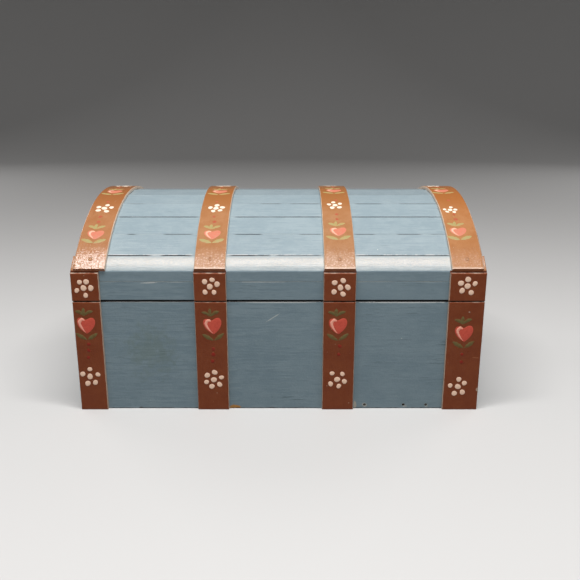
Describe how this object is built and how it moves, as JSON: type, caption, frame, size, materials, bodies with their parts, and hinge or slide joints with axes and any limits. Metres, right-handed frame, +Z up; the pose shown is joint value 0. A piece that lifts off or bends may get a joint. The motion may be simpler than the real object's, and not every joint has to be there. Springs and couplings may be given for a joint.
{
  "type": "treasure chest",
  "caption": "Small painted wooden chest with a slatted dome lid on back hinges, brown straps over blue boards, folk hearts, leaves and dot flowers; holds papers and keepsakes.",
  "frame": {"origin": "middle of the underside, on the surface that the chest stands on", "axes": "+Z up, the front faces -Y, +X to the right as seen from the front"},
  "size_m": [0.254, 0.1857, 0.1317],
  "materials": {
    "blue_boards": "grey-blue brushed paint under gloss varnish, bare wood inside",
    "brown_straps": "red-brown paint with folk motifs under gloss varnish",
    "bare_wood": "bare planed wood",
    "brass": "dulled brass",
    "brad_steel": "dull steel, partly painted over"
  },
  "bodies": {
    "base": {"base_back_board": "blue_boards", "base_back_strap_1": "brown_straps", "base_back_strap_2": "brown_straps", "base_back_strap_3": "brown_straps", "base_back_strap_4": "brown_straps", "base_bottom_board": "bare_wood", "base_front_board": "blue_boards", "base_front_strap_1": "brown_straps", "base_front_strap_2": "brown_straps", "base_front_strap_3": "brown_straps", "base_front_strap_4": "brown_straps", "base_hinge_screws": "brass", "base_left_end": "blue_boards", "base_right_end": "blue_boards", "bottom_brads": "brad_steel", "hinge_left_base_leaf": "brass", "hinge_left_pin": "brass", "hinge_right_base_leaf": "brass", "hinge_right_pin": "brass"},
    "lid": {"dome_strap_brads": "brad_steel", "hinge_left_lid_leaf": "brass", "hinge_right_lid_leaf": "brass", "lid_back_rail": "blue_boards", "lid_back_strap_1": "brown_straps", "lid_back_strap_2": "brown_straps", "lid_back_strap_3": "brown_straps", "lid_back_strap_4": "brown_straps", "lid_dome_strap_1": "brown_straps", "lid_dome_strap_2": "brown_straps", "lid_dome_strap_3": "brown_straps", "lid_dome_strap_4": "brown_straps", "lid_front_rail": "blue_boards", "lid_front_strap_1": "brown_straps", "lid_front_strap_2": "brown_straps", "lid_front_strap_3": "brown_straps", "lid_front_strap_4": "brown_straps", "lid_hinge_screws": "brass", "lid_left_end": "blue_boards", "lid_right_end": "blue_boards", "lid_slat_01": "blue_boards", "lid_slat_02": "blue_boards", "lid_slat_03": "blue_boards", "lid_slat_04": "blue_boards", "lid_slat_05": "blue_boards", "lid_slat_06": "blue_boards", "lid_slat_07": "blue_boards", "lid_slat_08": "blue_boards", "lid_slat_09": "blue_boards", "lid_slat_10": "blue_boards", "lid_slat_11": "blue_boards", "lid_slat_12": "blue_boards"}
  },
  "joints": [
    {"name": "lid_hinge", "type": "hinge", "parent": "base", "child": "lid", "pos_m": [0, 0.0919, 0.07215], "axis": [-1, 0, 0], "range_deg": [0, 105]}
  ]
}
